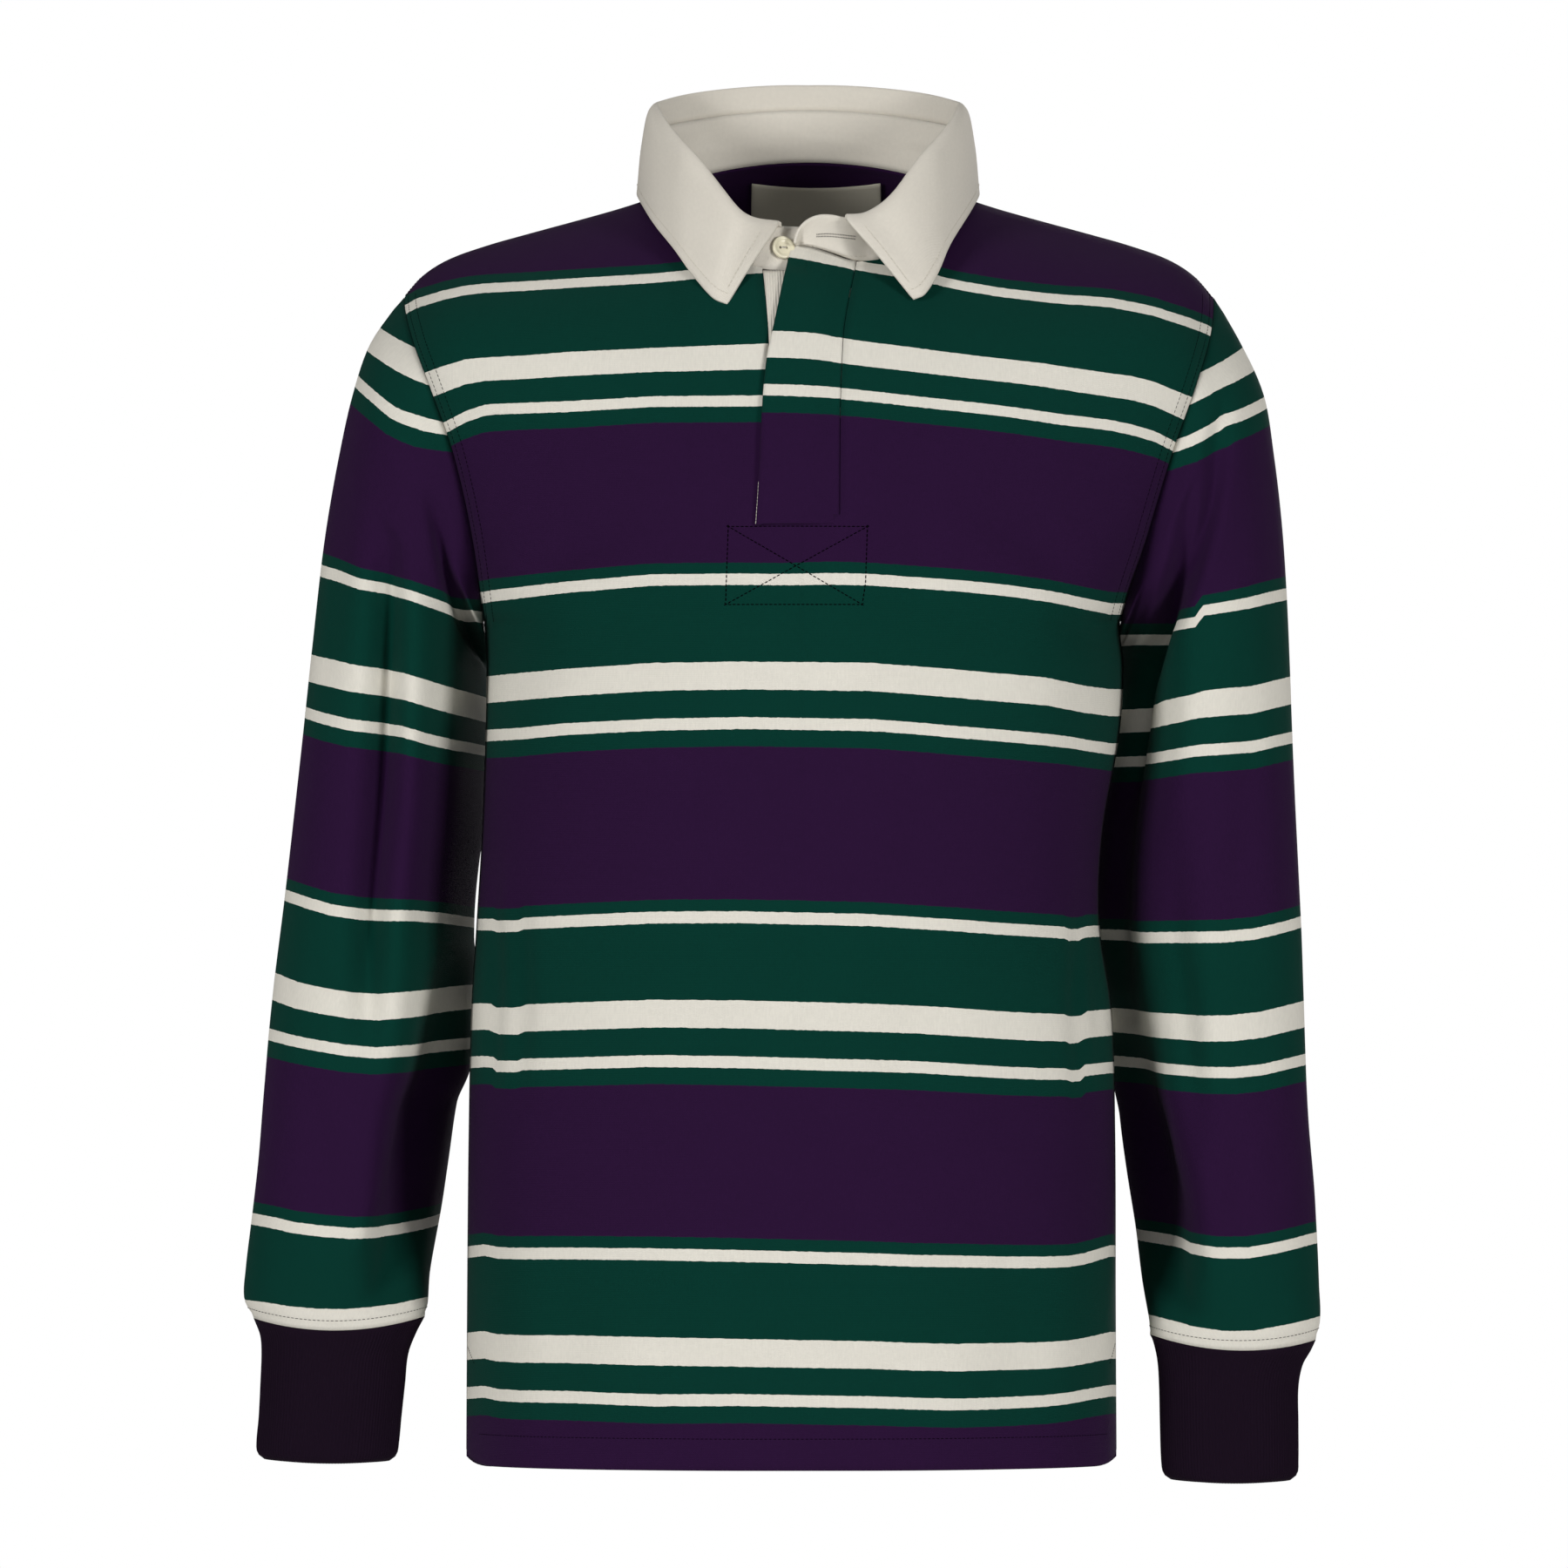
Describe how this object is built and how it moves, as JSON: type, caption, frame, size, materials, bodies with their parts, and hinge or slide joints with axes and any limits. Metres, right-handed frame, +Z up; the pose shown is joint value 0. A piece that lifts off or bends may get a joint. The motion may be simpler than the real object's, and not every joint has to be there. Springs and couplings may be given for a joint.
{
  "type": "rugby shirt",
  "caption": "Long-sleeved striped rugby shirt filled out as if worn, with an open turned-down collar, a half placket, one button and ribbed cuffs.",
  "frame": {"origin": "midway between the two points where the shoulder seams meet the neck, where the wearer's shoulders hold the shirt", "axes": "+Z up, the front of the shirt faces -Y, +X is the wearer's left"},
  "size_m": [0.622, 0.262, 0.8119],
  "materials": {
    "jersey": "matt cotton jersey, purple with green and cream stripes",
    "rib": "matt purple rib knit",
    "collar_cloth": "matt cream cotton twill",
    "facing": "cream ribbed cotton tape",
    "label": "soft satin, bare",
    "button": "satin cream"
  },
  "bodies": {
    "root": {"front": "jersey", "back": "jersey", "sleeve_right": "jersey", "sleeve_left": "jersey", "placket_top": "jersey", "cuff_right": "rib", "cuff_left": "rib", "collar_band": "collar_cloth", "collar_leaf": "collar_cloth", "placket_under": "facing", "neck_label": "label", "button_neck": "button"}
  },
  "joints": []
}
